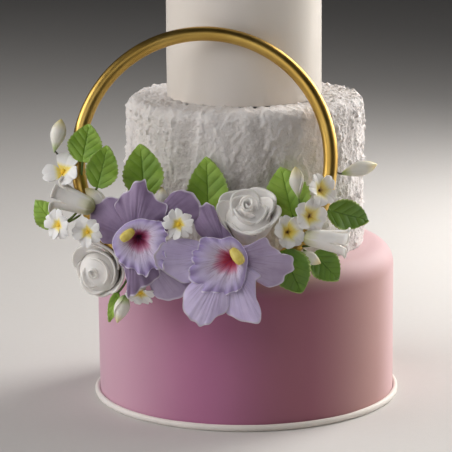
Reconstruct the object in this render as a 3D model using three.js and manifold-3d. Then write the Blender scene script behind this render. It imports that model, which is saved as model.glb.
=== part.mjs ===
// Tiered wedding cake: three round tiers, a standing gold hoop and a spray of sugar flowers.
// Millimetres, +Z up, origin at the centre of the base. The flowers face -Y.
import * as THREE from 'three';
import { mergeVertices } from 'three/addons/utils/BufferGeometryUtils.js';
import Module from 'manifold-3d';

// Driving dimensions of the tiers
const BOTTOM_RADIUS = 132;
const BOTTOM_HEIGHT = 137;
const BOTTOM_SHOULDER = 20;
const MIDDLE_RADIUS = 104;
const MIDDLE_HEIGHT = 131;
const MIDDLE_SHOULDER = 9;
const TOP_RADIUS = 68;
const TOP_HEIGHT = 132;
const TOP_SHOULDER = 12;
const TIER_SIDES = 48;
const SHOULDER_STEPS = 4;

// Rolled strip of icing round the base
const BORDER_WIDTH = 4.6;
const BORDER_HEIGHT = 5.6;

// Craggy icing of the middle tier
const CRAG_DEPTH = 0.9;
const CRAG_ROWS = 7;
const CRAG_WAVES = 7;
const CRAG_SEED = 11;

// Hoop: it stands on the lower shoulder and leans back on the top tier
const HOOP_RADIUS = 106.2;
const HOOP_TUBE = 5.7;
const HOOP_FOOT = new THREE.Vector3(-34, -135, 128.5);
const HOOP_LEAN = 16.8;
const HOOP_STEPS = 40;
const HOOP_SIDES = 8;

// Sugar paste
const PETAL_THICKNESS = 1.6;
const BLOSSOM_THICKNESS = 1.3;
const LEAF_THICKNESS = 1.3;
const WIRE_RADIUS = 1;
const WIRE_SIDES = 4;
const GAP = 0.4;

// Orchids: petals as [angle from the right, length, half width, ruffle, backward tilt, layer forwards]
const ORCHIDS = [
  {
    name: 'orchid_right', at: [-14, -150, 156], turn: -4, raise: 6, hoopAngle: 6,
    petals: [
      [178, 62, 18, 0.6, -17, 2.6], [111, 49, 12, 1, 5, 0], [-5, 55, 18, 2.4, 3, 2.6],
      [-111, 62, 18.5, 1.2, 3, 2.6], [-69, 57, 15.5, 1.6, 5, 0],
    ],
    lip: { shift: [-7, -8], radius: 24, depth: 15 },
    column: { at: [7, 1, 15.5], angle: -49, length: 16, radius: 3.7 },
  },
  {
    name: 'orchid_left', at: [-91, -144, 171], turn: -8, raise: 8, hoopAngle: -46,
    petals: [
      [151, 50, 19, 2.4, 5, 0], [86, 51, 20, 2.6, 5, 2.6], [38, 58, 16, 0.5, 7, 0],
      [-48, 59, 15.5, 0.5, 5, 0], [-95, 50, 17, 1.6, 4, 2.6],
    ],
    lip: { shift: [5, -9], radius: 24, depth: 15 },
    column: { at: [-6, 1, 15], angle: -137, length: 14, radius: 3.2 },
  },
];
const COLUMN_SIDES = 7;

// Roses: the centre of the flower, where it faces, and its radius
const ROSES = [
  { name: 'rose_right', at: [2.7, -128, 183], turn: 0, raise: 54, radius: 26, hoopAngle: 22 },
  { name: 'rose_left', at: [-123, -121, 137.5], turn: -22, raise: 0, radius: 24, hoopAngle: -44 },
];

// Five-petalled blossoms
const BLOSSOMS = [
  { at: [-55, -160, 186], turn: -6, raise: 8, spin: 12, radius: 14.5, hoopAngle: -12 },
  { at: [-153, -118, 224.5], turn: -20, raise: 40, spin: 20, radius: 17.5, hoopAngle: -84 },
  { at: [-156, -145, 183], turn: -36, raise: 8, spin: 8, radius: 14.5, hoopAngle: -70 },
  { at: [-131, -151, 178], turn: -20, raise: 8, spin: 30, radius: 14, hoopAngle: -62 },
  { at: [-87.5, -147, 123.5], turn: -6, raise: -38, spin: 0, radius: 13, hoopAngle: -24 },
  { at: [65, -126, 207.5], turn: 38, raise: 18, spin: 10, radius: 14.5, hoopAngle: 76 },
  { at: [55, -135, 187], turn: 22, raise: 14, spin: 52, radius: 14.5, hoopAngle: 58 },
  { at: [37, -141, 175], turn: 26, raise: 16, spin: 14, radius: 14.5, hoopAngle: 46 },
];
const BLOSSOM_FUNNEL = 5;

// Open trumpet blooms seen from the side
const TRUMPETS = [
  {
    name: 'trumpet_left', at: [-160, -122, 202.5], turn: -108, raise: 16,
    radius: 13, depth: 35, hoopAngle: -62,
  },
  {
    name: 'trumpet_right', at: [85, -137, 163.5], turn: 86, raise: -9,
    radius: 13, depth: 36, hoopAngle: 44,
  },
];

// Closed buds: [base, tip, radius, angle on the hoop where the wire ends]
const BUDS = [
  [[-160, -108, 236], [-154, -98, 264], 6.6, -84],
  [[-112, -122, 190], [-134, -121, 209], 6.2, -66],
  [[-101, -137, 121], [-108, -139, 97], 6.2, -30],
  [[-68, -118, 190], [-70, -116, 209], 4.6, -20],
  [[45, -121, 197], [42, -120, 226], 6.8, 56],
  [[82, -102, 215], [112, -94, 221], 6.4, 84],
  [[44, -134, 156], [63, -134, 146], 5, 40],
];
const BUD_SIDES = 7;
const BUD_ROWS = 5;

// Leaves: [base, tip, half width, sideways roll of the blade, angle on the hoop]
const LEAVES = [
  [[-136, -114, 230], [-130, -110, 261], 14.5, 0, -78],
  [[-123, -124, 210], [-114, -119, 244], 13.5, 8, -70],
  [[-158, -122, 176], [-176, -121, 198], 11, -12, -66],
  [[-84, -117, 200], [-87, -112, 244], 17, 4, -40],
  [[-31, -113, 184], [-32, -110, 232], 17, 0, -8],
  [[40, -111, 181], [24, -110, 222], 18, -8, 52],
  [[70, -98, 184], [107, -84, 171], 13, 4, 72],
  [[31, -136, 158], [46, -141, 122], 17.5, 10, 36],
  [[57, -123, 152], [79, -124, 129], 13, -6, 46],
  [[-108, -131, 122], [-115, -136, 97], 4.5, 0, -34],
];
const LEAF_STEPS = 6;

const wasm = await Module();
wasm.setup();

const radians = THREE.MathUtils.degToRad;

function material(colour, roughness, metalness = 0) {
  return new THREE.MeshStandardMaterial({ color: colour, roughness, metalness });
}

// Position-only copy of a geometry with its shared vertices merged
function welded(geometry) {
  const bare = geometry.clone();
  for (const name of Object.keys(bare.attributes)) {
    if (name !== 'position') bare.deleteAttribute(name);
  }
  return mergeVertices(bare, 1e-4);
}

function toSolid(geometry) {
  const merged = welded(geometry);
  return new wasm.Manifold(new wasm.Mesh({
    numProp: 3,
    vertProperties: new Float32Array(merged.attributes.position.array),
    triVerts: new Uint32Array(merged.index.array),
  }));
}

function toGeometry(solid) {
  const mesh = solid.getMesh();
  const geometry = new THREE.BufferGeometry();
  geometry.setAttribute('position', new THREE.Float32BufferAttribute(mesh.vertProperties, 3));
  geometry.setIndex(Array.from(mesh.triVerts));
  geometry.computeVertexNormals();
  return geometry;
}

function fuse(...geometries) {
  return toGeometry(geometries.map(toSolid).reduce((whole, piece) => whole.add(piece)));
}

// Geometry from vertices and triangles
function faceted(vertices, triangles) {
  const geometry = new THREE.BufferGeometry();
  geometry.setAttribute('position', new THREE.Float32BufferAttribute(vertices.flat(), 3));
  geometry.setIndex(triangles.flat());
  geometry.computeVertexNormals();
  return geometry;
}

// The same closed shape with every vertex moved outwards, the room it needs round it
function swollen(geometry, amount) {
  const grown = welded(geometry);
  grown.computeVertexNormals();
  const { position, normal } = grown.attributes;
  const point = new THREE.Vector3();
  const out = new THREE.Vector3();
  for (let i = 0; i < position.count; i += 1) {
    point.fromBufferAttribute(position, i);
    out.fromBufferAttribute(normal, i);
    point.addScaledVector(out, amount);
    position.setXYZ(i, point.x, point.y, point.z);
  }
  return grown;
}

// Two points either side of a surface, half a thickness away along its normal
function bothSides(surface, u, v, thickness) {
  const step = 1e-3;
  const along = surface(u + step, v).sub(surface(u - step, v));
  const across = surface(u, v + step).sub(surface(u, v - step));
  const normal = across.cross(along).normalize();
  const middle = surface(u, v);
  return [
    middle.clone().addScaledVector(normal, thickness / 2).toArray(),
    middle.addScaledVector(normal, -thickness / 2).toArray(),
  ];
}

// Closed thin blade over u from 0 to 1 and v from -1 to 1, both faces split alike
function blade(surface, steps, columns, thickness) {
  const vertices = [];
  const triangles = [];
  const at = (i, j, side) => 2 * (i * (columns + 1) + j) + side;
  for (let i = 0; i <= steps; i += 1) {
    for (let j = 0; j <= columns; j += 1) {
      vertices.push(...bothSides(surface, i / steps, (2 * j) / columns - 1, thickness));
    }
  }
  for (let i = 0; i < steps; i += 1) {
    for (let j = 0; j < columns; j += 1) {
      const corners = (side) => [
        at(i, j, side), at(i, j + 1, side), at(i + 1, j + 1, side), at(i + 1, j, side),
      ];
      const [a, b, c, d] = corners(0);
      const [e, f, g, h] = corners(1);
      triangles.push([a, b, c], [a, c, d], [e, g, f], [e, h, g]);
    }
  }
  const wall = (i, j, k, l) => {
    triangles.push([at(i, j, 1), at(k, l, 0), at(i, j, 0)], [at(i, j, 1), at(k, l, 1), at(k, l, 0)]);
  };
  for (let i = 0; i < steps; i += 1) {
    wall(i + 1, 0, i, 0);
    wall(i, columns, i + 1, columns);
  }
  for (let j = 0; j < columns; j += 1) {
    wall(0, j, 0, j + 1);
    wall(steps, j + 1, steps, j);
  }
  return faceted(vertices, triangles);
}

// Closed thin cup round the local Z axis: surface(s, angle) with s from the throat to the rim
function cup(surface, stations, sides, thickness) {
  const { x, y, z } = surface(0, 0);
  const vertices = [[x, y, z + thickness / 2], [x, y, z - thickness / 2]];
  const triangles = [];
  const at = (i, j, side) => 2 + 2 * (i * sides + (j % sides)) + side;
  for (const s of stations) {
    for (let j = 0; j < sides; j += 1) {
      const [back, front] = bothSides(surface, s, (2 * Math.PI * j) / sides, thickness);
      vertices.push(front, back);
    }
  }
  const rim = stations.length - 1;
  for (let j = 0; j < sides; j += 1) {
    triangles.push([0, at(0, j, 0), at(0, j + 1, 0)], [1, at(0, j + 1, 1), at(0, j, 1)]);
    for (let i = 0; i < rim; i += 1) {
      const corners = (side) => [
        at(i, j, side), at(i + 1, j, side), at(i + 1, j + 1, side), at(i, j + 1, side),
      ];
      const [a, b, c, d] = corners(0);
      const [e, f, g, h] = corners(1);
      triangles.push([a, b, c], [a, c, d], [e, g, f], [e, h, g]);
    }
    triangles.push([at(rim, j, 0), at(rim, j, 1), at(rim, j + 1, 1)]);
    triangles.push([at(rim, j, 0), at(rim, j + 1, 1), at(rim, j + 1, 0)]);
  }
  return faceted(vertices, triangles);
}

// Straight wire between two points
function wire(from, to) {
  const run = to.clone().sub(from);
  const rod = new THREE.CylinderGeometry(WIRE_RADIUS, WIRE_RADIUS, run.length(), WIRE_SIDES);
  rod.translate(0, run.length() / 2, 0);
  rod.applyQuaternion(new THREE.Quaternion().setFromUnitVectors(new THREE.Vector3(0, 1, 0), run.normalize()));
  return rod.translate(from.x, from.y, from.z);
}

// Point on the hoop's centre line, at an angle from its foot, to the right when positive
function onHoop(degrees) {
  const angle = radians(degrees);
  const rise = HOOP_RADIUS * (1 - Math.cos(angle));
  return new THREE.Vector3(HOOP_RADIUS * Math.sin(angle), 0, 0)
    .add(new THREE.Vector3(0, Math.sin(radians(HOOP_LEAN)) * rise, Math.cos(radians(HOOP_LEAN)) * rise))
    .add(HOOP_FOOT);
}

// Smooth tier with a rounded shoulder, from its flat base up
function smoothTier(radius, height, shoulder) {
  const profile = [new THREE.Vector2(0, 0), new THREE.Vector2(radius, 0)];
  for (let i = 0; i <= SHOULDER_STEPS; i += 1) {
    const angle = (Math.PI / 2) * (i / SHOULDER_STEPS);
    profile.push(new THREE.Vector2(
      radius - shoulder + shoulder * Math.cos(angle),
      height - shoulder + shoulder * Math.sin(angle),
    ));
  }
  profile.push(new THREE.Vector2(0, height));
  return new THREE.LatheGeometry(profile, TIER_SIDES).rotateX(Math.PI / 2);
}

function baseBorder() {
  const inner = BOTTOM_RADIUS + GAP;
  const outer = BOTTOM_RADIUS + BORDER_WIDTH;
  const profile = [
    [inner, 0], [outer - 0.8, 0], [outer, 0.4 * BORDER_HEIGHT],
    [outer - 1.4, 0.85 * BORDER_HEIGHT], [inner, BORDER_HEIGHT], [inner, 0],
  ].map(([x, y]) => new THREE.Vector2(x, y));
  return new THREE.LatheGeometry(profile, TIER_SIDES).rotateX(Math.PI / 2);
}

// Repeatable random numbers from 0 to 1
function seeded(seed) {
  let state = seed;
  return () => {
    state = (state * 1664525 + 1013904223) % 4294967296;
    return state / 4294967296;
  };
}

// Relief of the palette-knifed icing: streaks that run up the side and wander a little
function cragRelief() {
  const draw = seeded(CRAG_SEED);
  const waves = [];
  for (let i = 0; i < CRAG_WAVES; i += 1) {
    waves.push({ turns: 5 + 3 * i, phase: 2 * Math.PI * draw(), drift: 0.12 * (draw() - 0.5) });
  }
  return (angle, z) => waves.reduce(
    (sum, { turns, phase, drift }) => sum + Math.cos(turns * angle + phase + drift * z),
    0,
  ) * (CRAG_DEPTH / Math.sqrt(CRAG_WAVES));
}

// Craggy tier: a flat seat for the tier above, a flat base and relief between
function craggyTier() {
  const relief = cragRelief();
  const rows = [];
  const wallHeight = MIDDLE_HEIGHT - MIDDLE_SHOULDER;
  for (let i = 0; i <= CRAG_ROWS; i += 1) rows.push([MIDDLE_RADIUS, (wallHeight * i) / CRAG_ROWS, 1]);
  for (let i = 1; i <= 2; i += 1) {
    const angle = (Math.PI / 2) * (i / 2);
    rows.push([
      MIDDLE_RADIUS - MIDDLE_SHOULDER * (1 - Math.cos(angle)),
      wallHeight + MIDDLE_SHOULDER * Math.sin(angle), 1,
    ]);
  }
  rows.push([TOP_RADIUS + 4, MIDDLE_HEIGHT, 0]);
  const vertices = [[0, 0, 0], [0, 0, MIDDLE_HEIGHT]];
  const triangles = [];
  const at = (i, j) => 2 + i * TIER_SIDES + (j % TIER_SIDES);
  rows.forEach(([radius, z, share]) => {
    for (let j = 0; j < TIER_SIDES; j += 1) {
      const angle = (2 * Math.PI * j) / TIER_SIDES;
      const r = radius + share * relief(angle, z);
      vertices.push([r * Math.cos(angle), r * Math.sin(angle), z]);
    }
  });
  const last = rows.length - 1;
  for (let j = 0; j < TIER_SIDES; j += 1) {
    triangles.push([0, at(0, j + 1), at(0, j)], [1, at(last, j), at(last, j + 1)]);
    for (let i = 0; i < last; i += 1) {
      triangles.push([at(i, j), at(i, j + 1), at(i + 1, j + 1)], [at(i, j), at(i + 1, j + 1), at(i + 1, j)]);
    }
  }
  return faceted(vertices, triangles);
}

// Orchid petal along +Y of the flower, turned to its angle
function orchidPetal([angle, length, halfWidth, ruffle, tilt, layer]) {
  const surface = (u, v) => {
    const width = halfWidth * Math.max(Math.sin(Math.PI * 0.94 * Math.max(u, 0) ** 1.25 + 0.12), 0.1) ** 0.7;
    const wave = ruffle * v * v * u * Math.sin(9 * u + (v > 0 ? 0 : 2));
    const bow = layer + 4 * Math.sin(Math.PI * u) - 0.1 * halfWidth * v * v * u;
    const droop = u * length * Math.sin(radians(tilt));
    return new THREE.Vector3(v * width, 2 + u * (length - 2), bow + wave - droop);
  };
  return blade(surface, 6, 4, PETAL_THICKNESS).rotateZ(radians(angle - 90));
}

// Ruffled lip: it opens out of the throat to a rim that is off centre
function orchidLip({ shift, radius, depth }) {
  const surface = (s, angle) => {
    const frill = 1 + 0.05 * s * Math.cos(9 * angle);
    const x = s * (shift[0] + radius * frill * Math.cos(angle));
    const y = s * (shift[1] + radius * frill * Math.sin(angle));
    const flare = depth * (1 - (1 - s) ** 2) - 0.25 * depth * s ** 4;
    return new THREE.Vector3(x, y, flare + 1.8 * s ** 3 * Math.cos(7 * angle));
  };
  return cup(surface, [0.25, 0.65, 1], 20, PETAL_THICKNESS);
}

// Yellow column: a short capsule that lies across the throat
function orchidColumn({ at, angle, length, radius }) {
  const capsule = new THREE.CapsuleGeometry(radius, length - 2 * radius, 2, COLUMN_SIDES);
  return capsule.rotateX(radians(15)).rotateZ(radians(angle - 90)).translate(...at);
}

// Rose petal: a patch of a bowl round the axis, with rounded corners and a rolled lip
function rosePetal(radius, facing, span, foot, height, roll) {
  const surface = (u, v) => {
    const top = 1 - 0.3 * v ** 4;
    const t = u * top;
    const angle = radians(facing) + v * span;
    const bowl = radius * (0.3 + 0.7 * Math.max(t, 0) ** 0.6 + 0.06 * v);
    const out = bowl + roll * Math.max(t - 0.6, 0);
    return new THREE.Vector3(out * Math.cos(angle), out * Math.sin(angle), foot + height * t);
  };
  return blade(surface, 3, 4, PETAL_THICKNESS);
}

// Rose: a closed heart, two standing petals wrapped round it and five open ones
function rose(radius) {
  const foot = -0.75 * radius;
  const heart = [
    [0, foot - 3], [0.3 * radius, foot], [0.42 * radius, foot + 0.2 * radius], [0.34 * radius, 0],
    [0.2 * radius, 0.3 * radius], [0, 0.36 * radius],
  ].map(([x, y]) => new THREE.Vector2(x, y));
  const pieces = [new THREE.LatheGeometry(heart, 8).rotateX(Math.PI / 2)];
  for (let i = 0; i < 2; i += 1) {
    pieces.push(rosePetal(0.58 * radius, 180 * i + 20, 1.65, foot + 2, 1.15 * radius, 0));
  }
  for (let i = 0; i < 5; i += 1) {
    pieces.push(rosePetal(0.9 * radius, 72 * i + 50, 0.78, foot + 1, 0.95 * radius, 0.28 * radius));
  }
  return fuse(...pieces);
}

// Blossom: a shallow funnel with five notched lobes
function blossom(radius) {
  const surface = (s, angle) => {
    const lobe = Math.cos(5 * angle);
    const reach = radius * s * (1 + s * (0.2 * lobe - 0.25 * lobe * lobe));
    const z = -BLOSSOM_FUNNEL * Math.max(1 - s, 0) ** 2.5;
    return new THREE.Vector3(reach * Math.cos(angle), reach * Math.sin(angle), z);
  };
  return cup(surface, [0.28, 1], 20, BLOSSOM_THICKNESS);
}

// Trumpet bloom: a fat tube with five broad lobes rolled back round its mouth
function trumpet(radius, depth) {
  const surface = (s, angle) => {
    const lobe = Math.cos(5 * angle);
    const flare = 0.55 + 0.4 * THREE.MathUtils.smoothstep(s, 0.45, 0.75);
    const reach = radius * Math.min(6 * s, 1) * flare * (1 + 0.1 * s ** 4 * lobe);
    return new THREE.Vector3(reach * Math.cos(angle), reach * Math.sin(angle), depth * (s - 1));
  };
  return cup(surface, [0.17, 0.5, 0.72, 1], 20, BLOSSOM_THICKNESS);
}

// Bud along +Y: a plump base drawn out to a point
function bud(radius, length) {
  const profile = [];
  for (let i = 0; i <= BUD_ROWS; i += 1) {
    const t = i / BUD_ROWS;
    const out = i % BUD_ROWS === 0 ? 0 : radius * Math.sin(Math.PI * t ** 0.8) ** 0.85;
    profile.push(new THREE.Vector2(out, length * t));
  }
  return new THREE.LatheGeometry(profile, BUD_SIDES);
}

// Leaf along +Y: folded at the rib, with a wavy edge and a tip that bends back
function leaf(length, halfWidth) {
  const surface = (u, v) => {
    const along = 0.92 * Math.max(u, 0) ** 0.85 + 0.05;
    const width = halfWidth * Math.max(Math.sin(Math.PI * along), 0.08) ** 0.8;
    const z = 0.16 * width * Math.abs(v) + 1.2 * v * Math.sin(8 * u) - 5 * u * u;
    return new THREE.Vector3(v * width, u * length, z);
  };
  return blade(surface, LEAF_STEPS, 2, LEAF_THICKNESS);
}

// Group at a point, facing a direction: turn is to the right of -Y, raise is upwards
function facing(at, turn, raise) {
  const group = new THREE.Group();
  group.position.set(...at);
  group.rotation.set(Math.PI / 2 - radians(raise), 0, radians(turn), 'ZXY');
  group.updateMatrix();
  return group;
}

// Group at a base point with +Y to the tip and +Z towards the front, rolled about its length
function pointing(base, tip, roll) {
  const along = new THREE.Vector3(...tip).sub(new THREE.Vector3(...base)).normalize();
  const front = new THREE.Vector3(0, -1, 0.2);
  const side = along.clone().cross(front).normalize().applyAxisAngle(along, radians(roll));
  const group = new THREE.Group();
  group.position.set(...base);
  const axes = new THREE.Matrix4().makeBasis(side, along, side.clone().cross(along));
  group.quaternion.setFromRotationMatrix(axes);
  group.updateMatrix();
  return group;
}

// Wire from a point of a placed group to the skin of the hoop
function wireToHoop(group, from, degrees) {
  const to = onHoop(degrees).applyMatrix4(group.matrix.clone().invert());
  const reach = to.distanceTo(from) - HOOP_TUBE - WIRE_RADIUS - GAP;
  return wire(from, to.sub(from).setLength(reach).add(from));
}

const cake = new THREE.Group();
const settled = [];

function named(name, geometry, finish) {
  const mesh = new THREE.Mesh(geometry, finish);
  mesh.name = name;
  return mesh;
}

function keepRoom(geometry) {
  const room = swollen(geometry, GAP);
  room.computeBoundingBox();
  settled.push({ box: room.boundingBox, solid: toSolid(room) });
}

// Add a mesh whose place is already clear
function place(name, geometry, finish) {
  const mesh = named(name, geometry, finish);
  cake.add(mesh);
  return mesh;
}

// Add a mesh to its group, trimmed clear of every piece that is already in place
function settle(group, name, geometry, finish) {
  const world = geometry.clone().applyMatrix4(group.matrix);
  world.computeBoundingBox();
  let solid = toSolid(world);
  for (const other of settled) {
    if (other.box.intersectsBox(world.boundingBox)) solid = solid.subtract(other.solid);
  }
  const [largest] = solid.decompose().sort((a, b) => b.volume() - a.volume());
  const trimmed = toGeometry(largest);
  keepRoom(trimmed);
  group.add(named(name, trimmed.applyMatrix4(group.matrix.clone().invert()), finish));
}

const pinkIcing = material(0xc99fb3, 0.45);
const whiteIcing = material(0xe8e1da, 0.6);
const creamIcing = material(0xe6ddd2, 0.5);
const gold = material(0xb08d3c, 0.3, 1);
const lilacPaste = material(0xa795b5, 0.6);
const whitePaste = material(0xe4e0dc, 0.6);
const yellowPaste = material(0xd8c34e, 0.55);
const leafPaste = material(0x5f8f32, 0.55);

// Tiers
const middleBase = BOTTOM_HEIGHT;
const topBase = BOTTOM_HEIGHT + MIDDLE_HEIGHT;
place('bottom_tier', smoothTier(BOTTOM_RADIUS, BOTTOM_HEIGHT, BOTTOM_SHOULDER), pinkIcing);
place('base_border', baseBorder(), whiteIcing.clone());
place('middle_tier', craggyTier(), whiteIcing).position.z = middleBase;
place('top_tier', smoothTier(TOP_RADIUS, TOP_HEIGHT, TOP_SHOULDER), creamIcing).position.z = topBase;

// Hoop
const hoop = place('hoop', new THREE.TorusGeometry(HOOP_RADIUS, HOOP_TUBE, HOOP_SIDES, HOOP_STEPS), gold);
hoop.position.copy(onHoop(0).add(onHoop(180)).multiplyScalar(0.5));
hoop.rotation.x = Math.PI / 2 - radians(HOOP_LEAN);

for (const mesh of cake.children) {
  mesh.updateMatrix();
  keepRoom(mesh.geometry.clone().applyMatrix4(mesh.matrix));
}

// Orchids, the columns and lips first, so that the petals are trimmed to them
for (const { name, at, turn, raise, hoopAngle, petals, lip, column } of ORCHIDS) {
  const flower = facing(at, turn, raise);
  const hub = new THREE.SphereGeometry(6, 7, 4).translate(0, 0, -1);
  const stalk = wireToHoop(flower, new THREE.Vector3(0, 0, -4), hoopAngle);
  settle(flower, `${name}_column`, orchidColumn(column), yellowPaste.clone());
  settle(flower, `${name}_lip`, orchidLip(lip), lilacPaste.clone());
  settle(flower, `${name}_petals`, fuse(...petals.map(orchidPetal), hub, stalk), lilacPaste.clone());
  cake.add(flower);
}

for (const { name, at, turn, raise, radius, hoopAngle } of ROSES) {
  const flower = facing(at, turn, raise);
  const stalk = wireToHoop(flower, new THREE.Vector3(0, 0, -0.6 * radius), hoopAngle);
  settle(flower, name, fuse(rose(radius), stalk), whitePaste.clone());
  cake.add(flower);
}

BLOSSOMS.forEach(({ at, turn, raise, spin, radius, hoopAngle }, index) => {
  const flower = facing(at, turn, raise);
  const stalk = wireToHoop(flower, new THREE.Vector3(0, 0, -BLOSSOM_FUNNEL), hoopAngle);
  const bloom = fuse(blossom(radius).rotateZ(radians(spin)), stalk);
  settle(flower, `blossom_${index + 1}`, bloom, whitePaste.clone());
  cake.add(flower);
});

for (const { name, at, turn, raise, radius, depth, hoopAngle } of TRUMPETS) {
  const flower = facing(at, turn, raise);
  const stalk = wireToHoop(flower, new THREE.Vector3(0, 0, -depth), hoopAngle);
  settle(flower, name, fuse(trumpet(radius, depth), stalk), whitePaste.clone());
  cake.add(flower);
}

BUDS.forEach(([base, tip, radius, hoopAngle], index) => {
  const flower = pointing(base, tip, 0);
  const length = new THREE.Vector3(...base).distanceTo(new THREE.Vector3(...tip));
  const stalk = wireToHoop(flower, new THREE.Vector3(0, 0.1 * length, 0), hoopAngle);
  settle(flower, `bud_${index + 1}`, fuse(bud(radius, length), stalk), whitePaste.clone());
  cake.add(flower);
});

LEAVES.forEach(([base, tip, halfWidth, roll, hoopAngle], index) => {
  const spray = pointing(base, tip, roll);
  const length = new THREE.Vector3(...base).distanceTo(new THREE.Vector3(...tip));
  const stalk = wireToHoop(spray, new THREE.Vector3(0, 2, 0), hoopAngle);
  settle(spray, `leaf_${index + 1}`, fuse(leaf(length, halfWidth), stalk), leafPaste.clone());
  cake.add(spray);
});

export default cake;
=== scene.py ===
import bpy
import bmesh
import random
import numpy as np
from math import cos, log, pi, radians, sin
from mathutils import Matrix, Vector, noise


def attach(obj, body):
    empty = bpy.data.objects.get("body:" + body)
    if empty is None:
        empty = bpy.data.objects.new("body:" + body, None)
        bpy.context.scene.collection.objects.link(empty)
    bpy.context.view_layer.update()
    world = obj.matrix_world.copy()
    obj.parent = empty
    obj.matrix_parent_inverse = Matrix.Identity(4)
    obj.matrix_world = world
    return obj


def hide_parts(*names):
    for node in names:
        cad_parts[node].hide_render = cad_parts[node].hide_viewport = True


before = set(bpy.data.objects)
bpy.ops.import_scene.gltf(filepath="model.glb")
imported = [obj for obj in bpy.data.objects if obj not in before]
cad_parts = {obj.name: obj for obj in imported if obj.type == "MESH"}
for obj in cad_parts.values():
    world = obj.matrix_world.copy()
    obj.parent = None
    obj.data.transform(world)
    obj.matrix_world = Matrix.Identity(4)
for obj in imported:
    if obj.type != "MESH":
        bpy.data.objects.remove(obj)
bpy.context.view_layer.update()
bpy.ops.object.select_all(action="DESELECT")
print("frame loaded")

toMetres = Matrix.Scale(0.001, 4)  # pieces are shaped in millimetres and shrunk when they are placed


# Modelling helpers

def named(keys, rows):  # gives each row's values their names
    return {node: dict(zip(keys.split(), row)) for node, row in rows.items()}


def dropAll():
    bpy.ops.object.select_all(action="DESELECT")


def takeUp(piece):  # alone, so that the next operator acts on nothing else
    dropAll()
    piece.select_set(True)
    bpy.context.view_layer.objects.active = piece


def editAll():
    bpy.ops.object.mode_set(mode="EDIT")
    bpy.ops.mesh.select_all(action="SELECT")


def leaveEdit():
    bpy.ops.object.mode_set(mode="OBJECT")


def addSheet(name, across, along, form):  # form(u, v): u runs 0 to 1 along the sheet, v -1 to 1 across it
    dropAll()
    bpy.ops.mesh.primitive_grid_add(x_subdivisions=across, y_subdivisions=along, size=2)
    sheet = bpy.context.object
    sheet.name = name
    spots = np.empty(len(sheet.data.vertices) * 3)
    sheet.data.vertices.foreach_get("co", spots)
    spots = spots.reshape(-1, 3)
    u = np.clip((spots[:, 1] + 1) / 2, 0, 1)
    v = spots[:, 0].copy()
    spots[:, 0], spots[:, 1], spots[:, 2] = form(u, v)
    sheet.data.vertices.foreach_set("co", spots.ravel())
    sheet.data.update()
    return sheet


def closeUp():  # joins the seam and the poles of the piece just wrapped round
    editAll()
    bpy.ops.mesh.remove_doubles(threshold=0.004)
    bpy.ops.mesh.normals_make_consistent(inside=False)
    leaveEdit()


def addShell(name, across, along, form, finish):
    shell = addSheet(name, across, along, form)
    closeUp()
    paint(shell, finish)
    return shell


def thicken(sheet, thickness):
    wall = sheet.modifiers.new("wall", "SOLIDIFY")
    wall.thickness = thickness
    wall.offset = 0
    bpy.ops.object.modifier_apply(modifier="wall")


def soften(sheet, thickness):  # a thick petal with rounded edges
    thicken(sheet, thickness)
    smooth = sheet.modifiers.new("smooth", "SUBSURF")
    smooth.levels = 1
    smooth.render_levels = 1
    bpy.ops.object.modifier_apply(modifier="smooth")


def addRing(name, sides, tube, steps, middle, squash=1):  # a circle beside the axis, spun round it
    dropAll()
    bpy.ops.mesh.primitive_circle_add(vertices=sides, radius=tube, rotation=(pi / 2, 0, 0), location=middle)
    ring = bpy.context.object
    ring.name = name
    bpy.ops.object.transform_apply(location=True, rotation=True, scale=True)
    editAll()
    bpy.ops.transform.resize(value=(squash, 1, 1), center_override=middle)
    bpy.ops.mesh.spin(steps=steps, angle=2 * pi, center=(0, 0, 0), axis=(0, 0, 1))
    leaveEdit()
    closeUp()
    return ring


def unevenIcing(piece, size, depth):  # soft hand-smoothed waves
    waves = bpy.data.textures.new(piece.name + "Waves", "CLOUDS")
    waves.noise_scale = size
    waves.noise_depth = 1
    sway = piece.modifiers.new("sway", "DISPLACE")
    sway.texture = waves
    sway.strength = depth
    bpy.ops.object.modifier_apply(modifier="sway")


def pickWhere(piece, kind, wanted):  # selects edges or faces by their place
    bpy.ops.object.mode_set(mode="EDIT")
    bpy.ops.mesh.select_mode(type=kind)
    bpy.ops.mesh.select_all(action="DESELECT")
    mesh = bmesh.from_edit_mesh(piece.data)
    for part in mesh.edges if kind == "EDGE" else mesh.faces:
        part.select_set(wanted(part))
    bmesh.update_edit_mesh(piece.data)


def joinPieces(pieces, name):
    dropAll()
    for piece in pieces:
        piece.select_set(True)
    bpy.context.view_layer.objects.active = pieces[0]
    bpy.ops.object.join()
    pieces[0].name = name
    return pieces[0]


def placePiece(piece, spot=Matrix()):  # from local millimetres to the cake's own frame
    takeUp(piece)
    piece.matrix_world = toMetres @ spot @ piece.matrix_world
    bpy.ops.object.transform_apply(location=True, rotation=True, scale=True)


def paint(piece, finish):
    piece.data.materials.clear()
    piece.data.materials.append(finish)


def handOver(piece, node, sharpAngle=50):
    takeUp(piece)
    bpy.ops.object.shade_smooth_by_angle(angle=radians(sharpAngle))
    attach(piece, "root")
    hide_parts(node)


def facing(at, turn, lift):  # local Z looks out of the flower, local Y is its upper side
    a = radians(turn)
    e = radians(lift)
    side = Vector((cos(a), sin(a), 0))
    out = Vector((sin(a) * cos(e), -cos(a) * cos(e), sin(e)))
    up = out.cross(side)
    return Matrix.Translation(at) @ Matrix((side, up, out)).transposed().to_4x4()


def pointing(base, tip, roll):  # local Y runs from base to tip, local Z looks to the front
    along = (Vector(tip) - Vector(base)).normalized()
    side = along.cross(Vector((0, -1, 0.2))).normalized()
    side = Matrix.Rotation(radians(roll), 3, along) @ side
    out = side.cross(along)
    return Matrix.Translation(base) @ Matrix((side, along, out)).transposed().to_4x4()


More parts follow.
